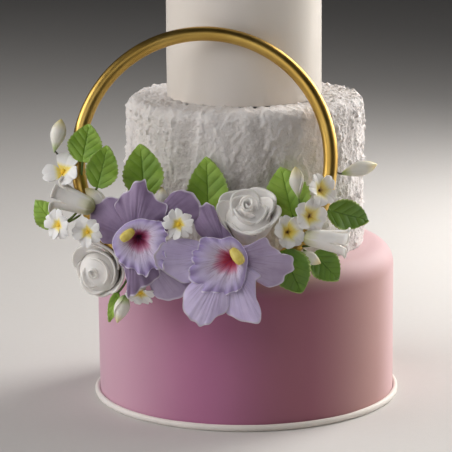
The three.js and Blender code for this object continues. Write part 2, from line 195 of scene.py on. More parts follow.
def smoothStep(value, low, high):
    t = np.clip((value - low) / (high - low), 0, 1)
    return t * t * (3 - 2 * t)


# Finish helpers

def tone(red, green, blue):  # a screen colour, 0 to 255, as the linear colour that a shader takes
    def linear(value):
        share = value / 255
        return share / 12.92 if share <= 0.04045 else ((share + 0.055) / 1.055) ** 2.4
    return (linear(red), linear(green), linear(blue), 1)


def newFinish(name, roughness, softness=0.0):
    finish = bpy.data.materials.new(name)
    finish.use_nodes = True
    shader = finish.node_tree.nodes["Principled BSDF"]
    shader.inputs["Roughness"].default_value = roughness
    shader.inputs["Subsurface Weight"].default_value = softness
    shader.inputs["Subsurface Radius"].default_value = (1.0, 0.8, 0.65)
    shader.inputs["Subsurface Scale"].default_value = 0.003
    return finish, shader


def addNode(kind, near):  # in the tree of a shader or a socket
    return near.id_data.nodes.new("ShaderNode" + kind)


def feed(socket, value):  # a link, a screen colour or a number
    if isinstance(value, bpy.types.NodeSocket):
        socket.id_data.links.new(value, socket)
    else:
        socket.default_value = tone(*value) if isinstance(value, tuple) else value


def whereOn(shader, kind):  # "Object" or "UV"
    return addNode("TexCoord", shader).outputs[kind]


def stretch(place, scale):
    node = addNode("Mapping", place)
    node.inputs["Scale"].default_value = scale
    feed(node.inputs["Vector"], place)
    return node.outputs["Vector"]


def uvAxes(shader):  # across and along the sheet, both 0 to 1
    node = addNode("SeparateXYZ", shader)
    feed(node.inputs[0], whereOn(shader, "UV"))
    return node.outputs[0], node.outputs[1]


def cloud(place, scale, detail, twist=0.0):
    node = addNode("TexNoise", place)
    node.inputs["Scale"].default_value = scale
    node.inputs["Detail"].default_value = detail
    node.inputs["Distortion"].default_value = twist
    feed(node.inputs["Vector"], place)
    return node.outputs["Fac"]


def calc(kind, *values):
    node = addNode("Math", values[0])
    node.operation = kind
    for socket, value in zip(node.inputs, values):
        feed(socket, value)
    return node.outputs[0]


def between(value, low, high, start=0.0, end=1.0):  # soft step from start to end
    node = addNode("MapRange", value)
    node.interpolation_type = "SMOOTHSTEP"
    for name, number in (("From Min", low), ("From Max", high), ("To Min", start), ("To Max", end)):
        node.inputs[name].default_value = number
    feed(node.inputs["Value"], value)
    return node.outputs["Result"]


def mixTone(factor, first, second):
    node = addNode("Mix", factor)
    node.data_type = "RGBA"
    feed(node.inputs[0], factor)
    feed(node.inputs[6], first)
    feed(node.inputs[7], second)
    return node.outputs[2]


def toneRamp(value, *stops):
    node = addNode("ValToRGB", value)
    while len(node.color_ramp.elements) < len(stops):
        node.color_ramp.elements.new(1)
    for element, (place, colour) in zip(node.color_ramp.elements, stops):
        element.position = place
        element.color = tone(*colour)
    feed(node.inputs["Fac"], value)
    return node.outputs["Color"]


def coat(shader, colour, patches, smooth, rough, low=0.3, high=0.7):  # the roughness follows the patches
    feed(shader.inputs["Base Color"], colour)
    feed(shader.inputs["Roughness"], between(patches, low, high, smooth, rough))


def emboss(shader, height, depth, strength):  # depth in metres
    node = addNode("Bump", shader)
    node.inputs["Strength"].default_value = strength
    node.inputs["Distance"].default_value = depth
    feed(node.inputs["Height"], height)
    feed(shader.inputs["Normal"], node.outputs["Normal"])


# Icing, its tone drifts from side to side and so paints in the light and shade of the side lamps: shares of
# the radius where each tone starts and is full

# painted light on the left, painted shade right of the middle, a paler peach tone on the right that is
# partly the icing's own hue and partly painted light, a painted rim highlight at the right edge
paintedLightSides = (("left", -0.25, -1), ("deep", -0.25, 0.35), ("right", 0.38, 0.87), ("edge", 0.85, 1))
# pink: body and patch are the icing's own tones; left is painted light, deep is painted shade, right is a
# peach tint, partly its own and partly painted light, edge is a painted rim highlight
pinkTones = {"body": (183, 116, 153), "patch": (176, 109, 146), "left": (207, 164, 182),
             "deep": (161, 103, 119), "right": (192, 149, 145), "edge": (212, 172, 174),
             "paintedShoulderLight": (212, 176, 180)}
# cream: the side tones paint light and shade, a little darker on the left, lighter in the middle, darker at
# the right edge; the border's side tones are almost even
creamTones = {"body": (224, 217, 211), "patch": (219, 211, 204), "left": (222, 214, 205),
              "deep": (231, 224, 216), "right": (226, 219, 209), "edge": (206, 199, 189)}
borderTones = {"body": (234, 228, 222), "patch": (225, 218, 212), "left": (234, 228, 223),
               "deep": (234, 228, 220), "right": (234, 227, 219), "edge": (234, 227, 219)}
# heights where the painted light on the shoulder begins and is full
paintedShoulderLightRise = (0.114, 0.136)  # the shoulder of the bottom tier, metres


# its tone is mixed by side and by height, which paints light and shade into the icing
def rolledIcing(name, roughness, span, tones):  # smooth sugar paste
    finish, shader = newFinish(name, roughness, 0.1)
    shader.inputs["Specular IOR Level"].default_value = 0.3
    shader.inputs["Sheen Weight"].default_value = 0.3
    shader.inputs["Sheen Roughness"].default_value = 0.35
    place = whereOn(shader, "Object")
    ground = mixTone(between(cloud(place, 9, 3), 0.35, 0.65), tones["body"], tones["patch"])
    axes = addNode("SeparateXYZ", shader)
    feed(axes.inputs[0], place)
    # painted light and shade from side to side
    for side, start, end in paintedLightSides:
        ground = mixTone(between(axes.outputs[0], start * span, end * span), ground, tones[side])
    # painted light on the top of the shoulder
    if "paintedShoulderLight" in tones:
        ground = mixTone(between(axes.outputs[2], *paintedShoulderLightRise), ground, tones["paintedShoulderLight"])
    coat(shader, ground, cloud(place, 22, 3), roughness - 0.05, roughness + 0.06)
    emboss(shader, cloud(place, 700, 3), 0.0002, 0.25)
    return finish


def craggyIcing():
    finish, shader = newFinish("craggyIcing", 0.8, 0.15)
    shader.inputs["Specular IOR Level"].default_value = 0.3
    place = whereOn(shader, "Object")
    depth = addNode("Attribute", shader)
    depth.attribute_name = "crag"
    height = depth.outputs["Fac"]
    lit = mixTone(cloud(place, 30, 4), (231, 226, 222), (220, 215, 214))
    # darker down in the low parts of the relief: painted shade in the hollows
    body = mixTone(between(height, 0.1, 0.55), (172, 164, 160), lit)
    # brown at the very bottom of the cracks and gaps: painted shade
    body = mixTone(between(height, 0.08, 0.0), body, (136, 108, 88))  # brown down in the cracks
    coat(shader, body, cloud(place, 90, 3), 0.7, 0.88)
    crumbs = calc("ADD", cloud(place, 330, 5, 0.6), cloud(stretch(place, (1, 1, 0.7)), 800, 4))
    emboss(shader, crumbs, 0.0015, 0.48)
    return finish


# Gold and sugar paste

def goldFinish():
    finish, shader = newFinish("goldTube", 0.36)
    shader.inputs["Metallic"].default_value = 1
    place = whereOn(shader, "Object")
    patches = between(cloud(place, 18, 3), 0.35, 0.65)
    coat(shader, mixTone(patches, (208, 174, 96), (190, 154, 78)), cloud(place, 60, 3), 0.34, 0.42)
    emboss(shader, cloud(place, 1500, 2), 0.00005, 0.15)
    return finish


def petalFinish(name, dusk, pale):  # greyish lilac, fine veins that fan out, a thin whitish rim
    finish, shader = newFinish(name, 0.52, 0.12)
    out = uvAxes(shader)[1]
    patches = between(cloud(whereOn(shader, "Object"), 60, 3), 0.3, 0.7)
    body = mixTone(patches, dusk, pale)
    streaks = cloud(stretch(whereOn(shader, "UV"), (46, 1.6, 1)), 1, 2, 0.3)
    veins = calc("MULTIPLY", between(streaks, 0.52, 0.64), between(out, 1, 0.45))
    body = mixTone(calc("MULTIPLY", veins, 0.4), body, (122, 97, 134))
    body = mixTone(between(out, 0.55, 0.2, 0, 0.4), body, (128, 104, 142))
    body = mixTone(between(out, 0.955, 0.99), body, (206, 196, 213))
    coat(shader, body, patches, 0.46, 0.6, 0, 1)
    emboss(shader, streaks, 0.0005, 0.4)
    return finish


# the dark throat is partly the lip's own deep colour and partly painted shade down the throat
def lipFinish(name, throat, glow, blush):  # dark throat, pale ground, ruffled lilac rim, with rays between
    finish, shader = newFinish(name, 0.48, 0.12)
    across, out = uvAxes(shader)
    turn = calc("MULTIPLY", across, 2 * pi)
    ring = addNode("CombineXYZ", shader)
    feed(ring.inputs[0], calc("COSINE", turn))
    feed(ring.inputs[1], calc("SINE", turn))
    feed(ring.inputs[2], calc("MULTIPLY", out, 0.12))
    broad = cloud(ring.outputs[0], 7, 2)
    fine = cloud(ring.outputs[0], 24, 2)
    reach = calc("MULTIPLY_ADD", calc("SUBTRACT", broad, 0.5), 0.18, out)
    ground = toneRamp(reach, (0.08, throat), (0.22, glow), (0.36, blush), (0.5, (217, 204, 228)),
                      (0.74, (197, 184, 220)), (0.95, (168, 149, 200)))
    rays = calc("MULTIPLY", between(fine, 0.52, 0.62), between(out, 0.9, 0.3))
    ground = mixTone(calc("MULTIPLY", rays, 0.55), ground, (128, 62, 122))
    ground = mixTone(between(out, 0.955, 1), ground, (224, 216, 234))
    coat(shader, ground, broad, 0.42, 0.56)
    emboss(shader, fine, 0.0006, 0.5)
    return finish


def whitePaste(name, *stops):  # coloured along each petal, from its foot to its rim
    finish, shader = newFinish(name, 0.5, 0.15)
    streaks = cloud(stretch(whereOn(shader, "UV"), (9, 1.5, 1)), 1, 3)
    reach = calc("MULTIPLY_ADD", calc("SUBTRACT", streaks, 0.5), 0.16, uvAxes(shader)[1])
    patches = between(cloud(whereOn(shader, "Object"), 120, 3), 0.3, 0.7, 0, 0.2)
    coat(shader, mixTone(patches, toneRamp(reach, *stops), (218, 215, 212)), streaks, 0.42, 0.58)
    emboss(shader, streaks, 0.0004, 0.4)
    return finish


def leafFinish(name, dark, light, rib):
    finish, shader = newFinish(name, 0.48, 0.05)
    place = whereOn(shader, "Object")
    press = addNode("Attribute", shader)
    press.attribute_name = "press"
    patches = between(cloud(place, 55, 4), 0.3, 0.7)
    body = mixTone(patches, dark, light)
    body = mixTone(between(press.outputs["Fac"], 0.2, 0.9, 0, 0.7), body, rib)
    side = calc("ABSOLUTE", calc("MULTIPLY_ADD", uvAxes(shader)[0], 2, -1))
    body = mixTone(between(side, 0.88, 1), body, (160, 182, 100))
    coat(shader, body, patches, 0.44, 0.58, 0, 1)
    emboss(shader, cloud(place, 500, 4), 0.0004, 0.4)
    return finish


def plainPaste(name, first, second, roughness):
    finish, shader = newFinish(name, roughness, 0.08)
    place = whereOn(shader, "Object")
    patches = between(cloud(place, 180, 3), 0.3, 0.7)
    coat(shader, mixTone(patches, first, second), patches, roughness - 0.06, roughness + 0.06, 0, 1)
    emboss(shader, cloud(place, 900, 3), 0.0003, 0.4)
    return finish


pinkFinish = rolledIcing("pinkIcing", 0.62, 0.132, pinkTones)
borderFinish = rolledIcing("whiteBorder", 0.5, 0.136, borderTones)
creamFinish = rolledIcing("creamIcing", 0.52, 0.068, creamTones)
cragFinish = craggyIcing()
hoopFinish = goldFinish()
# one lilac paste in three tones: partly its own dusting, darker on the upper petals and paler on the lower
# ones, and partly painted light and shade, paler where the lower petals catch light and a mid tone on a
# petal in shade
lilacFinish = petalFinish("lilacPaste", (134, 112, 146), (153, 132, 167))
midLilacFinish = petalFinish("midLilacPaste", (170, 153, 184), (188, 172, 202))
paleLilacFinish = petalFinish("paleLilacPaste", (205, 189, 229), (220, 207, 241))
# throat tones, partly their own colour and partly painted shade
leftLipFinish = lipFinish("leftLipPaste", (54, 8, 24), (146, 34, 76), (200, 132, 168))
rightLipFinish = lipFinish("rightLipPaste", (168, 34, 58), (186, 58, 88), (206, 134, 164))
columnFinish = plainPaste("yellowPaste", (232, 214, 120), (214, 192, 84), 0.5)
dabFinish = plainPaste("yellowDab", (250, 212, 58), (244, 194, 44), 0.6)
# a brown dab standing for the dark slit deep in the throat: painted shade
shadedSlitFinish = plainPaste("brownShadedSlit", (126, 84, 24), (104, 66, 20), 0.6)
stemFinish = plainPaste("stemPaste", (104, 128, 52), (82, 104, 40), 0.5)
wireFinish = plainPaste("darkWire", (66, 62, 44), (50, 46, 34), 0.4)
roseFinish = whitePaste("rosePaste", (0, (232, 224, 214)), (0.5, (246, 242, 238)),
                        (0.9, (248, 245, 243)), (1, (248, 244, 239)))
blossomFinish = whitePaste("blossomPaste", (0.06, (248, 212, 62)), (0.18, (247, 222, 100)),
                           (0.28, (245, 237, 200)), (0.38, (243, 241, 239)), (1, (243, 241, 241)))
# darkest at the very throat, round the slit: painted shade
deepBlossomFinish = whitePaste("deepBlossomPaste", (0.03, (176, 132, 40)), (0.12, (240, 208, 70)),
                               (0.28, (247, 230, 128)), (0.44, (244, 239, 210)), (0.58, (242, 239, 234)),
                               (1, (241, 239, 236)))
trumpetFinish = whitePaste("trumpetPaste", (0.02, (170, 174, 104)), (0.2, (224, 221, 196)),
                           (0.36, (236, 233, 228)), (0.9, (239, 236, 233)), (1, (238, 234, 226)))
budFinish = whitePaste("budPaste", (0.02, (104, 140, 58)), (0.15, (180, 198, 130)), (0.32, (233, 231, 220)),
                       (0.64, (239, 236, 226)), (0.85, (236, 226, 182)), (1, (216, 198, 112)))
greenLeaf = leafFinish("leafPaste", (126, 166, 52), (156, 190, 76), (98, 136, 36))
# a darker leaf paste, partly a deeper green of its own and partly painted shade for the leaves that sit in
# shade
deepGreenShadedLeaf = leafFinish("deepGreenShadedLeafPaste", (84, 124, 30), (108, 148, 44), (62, 96, 20))
print("finishes mixed")


# Smooth tiers

bottomTier = {"radius": 132, "base": 0, "height": 137, "shoulder": 20, "sides": 192}
topTier = {"radius": 68, "base": 268, "height": 132, "shoulder": 12, "sides": 160}


def smoothTier(name, tier, finish):
    half = tier["height"] / 2
    dropAll()
    bpy.ops.mesh.primitive_cylinder_add(vertices=tier["sides"], radius=tier["radius"], depth=tier["height"],
                                        location=(0, 0, tier["base"] + half))
    cake = bpy.context.object
    cake.name = name
    pickWhere(cake, "EDGE", lambda edge: min(end.co.z for end in edge.verts) > half - 1)  # the upper rim
    bpy.ops.mesh.bevel(offset=tier["shoulder"], segments=16, profile=0.5, affect="EDGES")
    pickWhere(cake, "EDGE", lambda edge: abs(edge.verts[0].co.z - edge.verts[1].co.z) > half)  # the wall
    bpy.ops.mesh.subdivide(number_cuts=30)
    pickWhere(cake, "FACE", lambda face: face.calc_center_median().xy.length < 1)  # the two flat ends
    bpy.ops.mesh.inset(thickness=6)
    bpy.ops.mesh.inset(thickness=20)
    leaveEdit()
    unevenIcing(cake, 55, 0.7)
    paint(cake, finish)
    placePiece(cake)
    return cake


handOver(smoothTier("bottomTierIcing", bottomTier, pinkFinish), "bottom_tier")
handOver(smoothTier("topTierIcing", topTier, creamFinish), "top_tier")
print("smooth tiers done")


# Rolled strip round the base

baseBorder = {"inner": 131.9, "width": 4.7, "height": 5.6, "steps": 192}

border = addRing("baseBorderStrip", 24, baseBorder["height"] / 2, baseBorder["steps"],
                 (baseBorder["inner"] + baseBorder["width"] / 2, 0, baseBorder["height"] / 2),
                 baseBorder["width"] / baseBorder["height"])
unevenIcing(border, 30, 0.5)
paint(border, borderFinish)
placePiece(border)
handOver(border, "base_border")
print("base border done")


# Craggy tier, spread and torn up with a palette knife

# strokes: how many, widths, lengths, burr along the edges and how torn the icing is left
middleTier = {"radius": 104, "base": 137, "height": 131, "shoulder": 9, "ledgeInner": 60, "around": 520,
              "rows": 172, "seed": 11, "ridge": 1.6, "grain": 0.2, "crumb": 1.8, "flake": 3.6, "crack": 1.4,
              "gap": 7,
              "strokes": [(120, (12, 26), (30, 80), 1.2, 0.45), (200, (4, 9), (10, 28), 0.65, 1.1)]}


def knifeWork(tier):  # height of the icing over the smooth tier, rows by columns, millimetres
    pick = random.Random(tier["seed"])
    grains = np.random.default_rng(tier["seed"])
    rows = tier["rows"]
    columns = tier["around"]
    girth = 2 * pi * tier["radius"]
    stepAround = girth / columns
    wall = tier["height"] - tier["shoulder"]
    profile = wall + tier["shoulder"] * (pi / 2 - 1) + tier["radius"] - tier["ledgeInner"]
    stepUp = profile / rows
    height = np.zeros((rows + 1, columns))
    torn = np.ones((rows + 1, columns))
    rings = [Vector((cos(2 * pi * j / columns), sin(2 * pi * j / columns), 0)) * tier["radius"]
             for j in range(columns)]
    for i in range(rows + 1):  # soft ridges that run up the wall
        for j, spot in enumerate(rings):
            swell = noise.noise(Vector((spot.x / 19, spot.y / 19, i * stepUp / 70)))
            crest = max(0, 1 - abs(swell) / 0.22) ** 2
            height[i, j] = tier["ridge"] * (swell + 0.6 * crest)
    for count, widths, lengths, lipSize, roughLeft in tier["strokes"]:
        for _ in range(count):  # strokes of the knife: broad scoops first, then short torn ones
            length = pick.uniform(*lengths)
            width = pick.uniform(*widths)
            lean = radians(pick.gauss(86, 13))
            level = pick.uniform(-0.7, 0.5)
            ramp = pick.uniform(-0.8, 0.8)
            lip = pick.uniform(0.2, 1) * lipSize
            middleUp = pick.uniform(0, profile)
            middleAround = pick.uniform(0, girth)
            row = int(middleUp / stepUp)
            column = int(middleAround / stepAround)
            reach = int(length / 2 / min(stepUp, stepAround)) + 3
            i = np.arange(max(0, row - reach), min(rows, row + reach) + 1)
            j = np.arange(column - reach, column + reach + 1)
            up = (i * stepUp - middleUp)[:, None]
            across = (j * stepAround - middleAround)[None, :]
            p = (across * cos(lean) + up * sin(lean)) / (length / 2)
            q = (up * cos(lean) - across * sin(lean)) / (width / 2)
            wobble = 0.16 * np.sin(7 * p + 5 * q + level * 9) + 0.1 * np.sin(15 * p + lip * 20)
            inside = smoothStep(1 - np.abs(p), 0, 0.15) * smoothStep(1 - np.abs(q) + wobble, 0, 0.25)
            burr = lip * (0.6 * smoothStep(p, 0.6, 0.95) + smoothStep(np.abs(q), 0.6, 0.95))
            patch = np.ix_(i, j % columns)
            ground = height[row, column % columns]
            laid = 0.6 * height[patch] + 0.4 * ground + level + 0.4 * ramp * p + 0.5 * ramp * q + burr
            height[patch] += (laid - height[patch]) * inside * 0.8
            torn[patch] += (roughLeft * pick.uniform(0.5, 1.4) - torn[patch]) * inside * 0.8
    for i in range(rows + 1):  # crumbs and cracks, calmer in front, gaps where the next tier stands
        up = i * stepUp
        onWall = 1 - smoothStep(up, wall - 8, wall)
        for j, spot in enumerate(rings):
            wild = 1 - (0.56 + 0.02 * onWall) * smoothStep(-spot.y / tier["radius"], 0.5, 0.9)
            near, lumps = noise.voronoi(Vector((spot.x / 3.8, spot.y / 3.8, up / 5)))
            crumb = max(0, 1 - near[0] / 0.6) * max(0, 0.4 + noise.cell(lumps[0] * 9))
            near, lumps = noise.voronoi(Vector((spot.x / 5.5 + 30, spot.y / 5.5, up / 9)))
            flake = max(0, 1 - near[0] / 0.5) * max(0, noise.cell(lumps[0] * 7))
            crack = max(0, noise.noise(Vector((spot.x / 5 + 60, spot.y / 5, up / 9))) - 0.5)
            hole = max(0, noise.noise(Vector((spot.x / 6, spot.y / 6, 7))) - 0.04)
            gap = hole * smoothStep(up, profile - 14, profile - 8)
            torn[i, j] = wild * (0.4 + 0.6 * torn[i, j])
            height[i, j] += tier["crumb"] * torn[i, j] * crumb + tier["flake"] * wild * flake
            height[i, j] -= tier["crack"] * crack + tier["gap"] * gap
    return height + (0.4 + torn) * grains.normal(0, tier["grain"], height.shape), profile


def craggyTier(tier):
    height, profile = knifeWork(tier)
    wall = tier["height"] - tier["shoulder"]
    bend = tier["shoulder"] * pi / 2
    relief = []

    def form(u, v):
        i = np.rint(u * tier["rows"]).astype(int)
        j = np.rint((v + 1) / 2 * tier["around"]).astype(int) % tier["around"]
        raised = height[i, j]
        relief.append(raised)
        run = u * profile
        turn = np.clip((run - wall) / bend, 0, 1) * pi / 2
        inwards = np.maximum(run - wall - bend, 0)
        radius = tier["radius"] - tier["shoulder"] * (1 - np.cos(turn)) - inwards + raised * np.cos(turn)
        up = np.minimum(run, wall) + tier["shoulder"] * np.sin(turn) + raised * np.sin(turn)
        angle = 2 * pi * j / tier["around"]
        return radius * np.cos(angle), radius * np.sin(angle), tier["base"] + np.maximum(up, 0.3)

    cake = addSheet("middleTierIcing", tier["around"], tier["rows"], form)
    crag = cake.data.attributes.new("crag", "FLOAT", "POINT")
    crag.data.foreach_set("value", np.clip(0.5 + relief[0] / 5, 0, 1).astype(np.float32))
    closeUp()
    editAll()
    bpy.ops.mesh.fill_holes(sides=0)
    bpy.ops.mesh.normals_make_consistent(inside=False)
    leaveEdit()
    paint(cake, cragFinish)
    placePiece(cake)
    return cake


handOver(craggyTier(middleTier), "middle_tier", 44)
print("craggy tier done")


# Gold hoop

hoop = {"radius": 106.2, "tube": 6.1, "foot": Vector((-34, -135, 128.5)), "lean": 16.8, "steps": 160,
        "sides": 24}


def onHoop(degrees):  # 0 at the foot, positive to the right
    a = radians(degrees)
    rise = hoop["radius"] * (1 - cos(a))
    lean = radians(hoop["lean"])
    return hoop["foot"] + Vector((hoop["radius"] * sin(a), sin(lean) * rise, cos(lean) * rise))


ring = addRing("hoopTube", hoop["sides"], hoop["tube"], hoop["steps"], (hoop["radius"], 0, 0))
leaning = radians(hoop["lean"])
ringUp = Vector((0, sin(leaning), cos(leaning)))
ringAxes = Matrix((Vector((1, 0, 0)), ringUp, Vector((1, 0, 0)).cross(ringUp))).transposed().to_4x4()
paint(ring, hoopFinish)
placePiece(ring, Matrix.Translation(hoop["foot"] + ringUp * hoop["radius"]) @ ringAxes)
handOver(ring, "hoop")
print("hoop done")


# Stems from a flower to the hoop

stems = {"radius": 1.0, "budRadius": 0.8, "sag": 0.07}


def addStem(name, start, hoopAngle, finish, radius):
    run = onHoop(hoopAngle) - start
    run *= max(1 - (hoop["tube"] + 0.6) / run.length, 0.05)
    side = run.cross(Vector((0.1, 0.2, 1))).normalized()
    down = run.cross(side).normalized()
    sag = stems["sag"] * run.length

    def form(u, v):
        angle = pi * v
        ringSize = radius * np.minimum(np.minimum(u, 1 - u) * 10, 1)
        parts = []
        for axis in range(3):
            ringPart = ringSize * (np.cos(angle) * side[axis] + np.sin(angle) * down[axis])
            parts.append(start[axis] + run[axis] * u + ringPart + down[axis] * sag * np.sin(pi * u))
        return parts

    stem = addShell(name, 10, 20, form, finish)
    placePiece(stem)
    return stem


def wireUp(bloom, spot, start, node, flower, slotName):  # places a flower and gives it its stem
    name = bloom.name
    placePiece(bloom, spot)
    wire = flower.get("wire", stemFinish)
    radius = stems["budRadius"] if slotName == "bud_paste" else stems["radius"]
    stem = addStem(name + "_stem", spot @ Vector(start), flower["hoopAngle"], wire, radius)
    handOver(joinPieces([bloom, stem], name), node)


# Orchids

# the pale and mid lilac pastes here are partly painted light and shade
rightPetals = [
    {"rim": [(-14, 9), (-30, 15), (-47, 16), (-56, 10), (-60, 1), (-57, -7), (-48, -14), (-37, -21),
             (-22, -17)], "ruffle": 0.8, "tilt": -4, "curl": 13, "bow": 2, "layer": 2.6,
     "paste": paleLilacFinish},
    {"rim": [(-12, 10), (-25, 19), (-30, 29), (-28, 37), (-24, 42), (-17, 44), (-12, 40), (-8, 30),
             (-2, 23), (5, 15)], "ruffle": 1.4, "tilt": 5, "layer": 0, "hem": (1, 4)},
    {"rim": [(8, 9), (20, 11), (29, 16), (36, 10), (42, 4), (50, 2), (55, -6), (50, -13), (45, -19),
             (36, -25), (27, -22), (14, -13)], "ruffle": 2.2, "tilt": 2, "layer": 3.4,
     "paste": midLilacFinish},
    {"rim": [(-16, -10), (-34, -25), (-37, -37), (-34, -47), (-28, -52), (-22, -56), (-15, -54), (-8, -48),
             (0, -43), (3, -32)], "ruffle": 0.9, "tilt": -12, "layer": 2.6, "paste": paleLilacFinish},
    {"rim": [(3, -25), (3, -38), (-1, -45), (4, -49), (12, -52), (24, -54), (28, -48), (26, -40), (23, -31),
             (23, -20), (27, -15), (22, -10)], "ruffle": 0.8, "tilt": -11, "layer": 0, "hem": (1, 2),
     "paste": paleLilacFinish}]
# the mid lilac paste here is partly painted shade
leftPetals = [
    {"rim": [(-4, 14), (-14, 27), (-18, 33), (-29, 31), (-41, 22), (-38, 11), (-33, 2), (-29, -5),
             (-13, -4)], "ruffle": 1.6, "tilt": 12, "layer": 0},
    {"rim": [(-9, 12), (-17, 25), (-15, 33), (-8, 38), (-2, 45), (6, 49), (10, 41), (16, 34), (26, 28),
             (23, 16), (12, 10)], "ruffle": 2.2, "tilt": 5, "layer": 2.6},
    {"rim": [(14, 14), (24, 27), (27, 35), (34, 40), (44, 39), (52, 31), (51, 16), (26, 6)],
     "ruffle": 0.6, "tilt": 7, "layer": 0},
    {"rim": [(10, -20), (13, -40), (17, -48), (24, -51), (35, -50), (44, -43), (45, -34), (36, -25),
             (20, -12)], "ruffle": 0.6, "tilt": 2, "layer": 0, "paste": midLilacFinish},
    {"rim": [(-8, -9), (-14, -17), (-9, -25), (-6, -35), (-5, -49), (2, -45), (11, -38), (20, -33),
             (21, -24)], "ruffle": 2.2, "tilt": -3, "layer": 2.6, "hem": (-1, 3)}]
orchids = {
    "orchid_right": {
        "at": (-14, -150, 156), "turn": -4, "lift": 6, "hoopAngle": 6, "lip": rightLipFinish,
        "petals": rightPetals, "throat": (5, 0), "lipDepth": 12, "frillSide": 205,
        "lipRim": [(16, -5), (14, -16), (11, -25), (5, -27), (-4, -31), (-11, -27), (-19, -28), (-25, -23),
                   (-32, -12), (-28, -3), (-29, 5), (-23, 10), (-23, 15), (-17, 18), (-8, 16), (3, 18),
                   (11, 12), (16, 3)],
        "columnAt": (8, 2.5, 15.5), "columnAngle": -52, "columnLength": 16, "columnRadius": 4.5},
    "orchid_left": {
        "at": (-91, -144, 171), "turn": -8, "lift": 8, "hoopAngle": -46, "lip": leftLipFinish,
        "petals": leftPetals, "throat": (3.6, 2.4), "lipDepth": 12, "frillSide": 310,
        "lipRim": [(29, 4), (27, -5), (28, -17), (24, -24), (18, -24), (12, -29), (7, -29), (0, -25),
                   (-8, -21), (-13, -15), (-17, -5), (-15, 3), (-8, 11), (-1, 15), (7, 17), (15, 16),
                   (23, 15), (27, 10)],
        "columnAt": (-4, 3.6, 15), "columnAngle": -140, "columnLength": 14, "columnRadius": 4}}

orchidPaste = {"petal": 1.2, "lip": 1.2, "veinDepth": 0.12, "throatRise": 3.5}


def alongRim(points, share, closed=False):  # smooth curve through the rim points, share 0 to 1
    points = np.array(points, float)
    last = len(points) if closed else len(points) - 1
    spot = np.clip(share, 0, 1) * last
    piece = np.minimum(spot.astype(int), last - 1)
    t = (spot - piece)[:, None]

    def knot(shift):
        index = piece + shift
        return points[index % len(points)] if closed else points[np.clip(index, 0, len(points) - 1)]

    before, start, end, after = knot(-1), knot(0), knot(1), knot(2)
    curve = 2 * start + (end - before) * t + (2 * before - 5 * start + 4 * end - after) * t ** 2
    curve = (curve + (3 * start - before - 3 * end + after) * t ** 3) / 2
    return curve[:, 0], curve[:, 1]


def orchidPetal(name, petal, seed):
    ruffle = petal["ruffle"]

    def form(u, v):
        x, y = alongRim(petal["rim"], (v + 1) / 2)
        out = 0.06 + 0.94 * u
        reach = np.hypot(x, y) * out
        wave = ruffle * u ** 5 * np.sin(9 * v + seed) * (0.25 + 0.75 * np.abs(v))
        wave = wave + 0.5 * ruffle * u ** 8 * np.sin(23 * v + 2 * seed)
        out = out * (1 + 0.012 * ruffle * u ** 4 * np.sin(19 * v + 2 * np.sin(3 * v) + 3 * seed))
        bow = petal["layer"] + petal.get("bow", 4) * np.sin(pi * u) * (1 - 0.4 * v * v) - 1.8 * v ** 4 * u
        fold = -0.35 * np.exp(-(v / 0.12) ** 2) * np.sin(pi * np.minimum(u * 1.05, 1))
        veins = orchidPaste["veinDepth"] * np.cos(40 * v + 1.5 * np.sin(5 * v)) * np.sin(pi * u) ** 0.5
        z = bow + wave + fold + veins - reach * sin(radians(petal["tilt"]))
        z = z + petal.get("curl", 0) * (reach / reach.max()) ** 2.5  # the tip bent forward
        hemSide, hem = petal.get("hem", (1, 0))  # one edge folded forward
        z = z + hem * smoothStep(v * hemSide, 0.35, 1) ** 2 * u
        return x * out, y * out, z

    sheet = addSheet(name, 72, 32, form)
    thicken(sheet, orchidPaste["petal"])
    paint(sheet, petal.get("paste", lilacFinish))
    return sheet


def orchidLip(name, flower):
    depth = flower["lipDepth"]
    throat = flower["throat"]
    frillSide = radians(flower["frillSide"])

    def form(s, v):
        x, y = alongRim(flower["lipRim"], (v + 1) / 2, True)
        angle = np.arctan2(y - throat[1], x - throat[0])
        side = np.maximum(np.cos(angle - frillSide) * 0.75 + 0.4, 0.05)
        share = pi * v
        waves = 17 * share + 1.6 * np.sin(2 * share) + 0.8 * np.sin(3 * share)
        z = orchidPaste["throatRise"] + depth * (1 - (1 - s) ** 2) - 0.25 * depth * s ** 4
        z = z + 2.4 * side * s ** 9 * np.cos(waves) + 1.6 * side * s ** 5 * np.cos(6 * share + 1)
        z = z + 0.25 * s * (1 - s) * np.cos(44 * share)
        out = s * (1 + 0.03 * side * s ** 9 * np.sin(waves) + 0.026 * side * s ** 9 * np.sin(0.5 * waves))
        return throat[0] + out * (x - throat[0]), throat[1] + out * (y - throat[1]), z

    lip = addShell(name, 180, 36, form, flower["lip"])
    thicken(lip, orchidPaste["lip"])
    return lip


def orchidColumn(name, flower):
    length = flower["columnLength"]
    radius = flower["columnRadius"]
    turn = radians(flower["columnAngle"] - 90)
    at = flower["columnAt"]

    def form(u, v):
        angle = pi * v
        wide = radius * np.sin(pi * np.clip(u, 0, 1)) ** 0.3
        wide = wide * (0.86 + 0.2 * u)
        x = wide * np.cos(angle) * 1.06
        across = wide * np.sin(angle) * 0.92 - 0.5 * np.exp(-(x / 0.8) ** 2) * smoothStep(u, 0.3, 0.9)
        y = (u - 0.5) * length
        tip = radians(15)
        y, z = y * cos(tip) - across * sin(tip), y * sin(tip) + across * cos(tip)
        return (at[0] + x * cos(turn) - y * sin(turn),
                at[1] + x * sin(turn) + y * cos(turn), at[2] + z)

    return addShell(name, 32, 28, form, columnFinish)


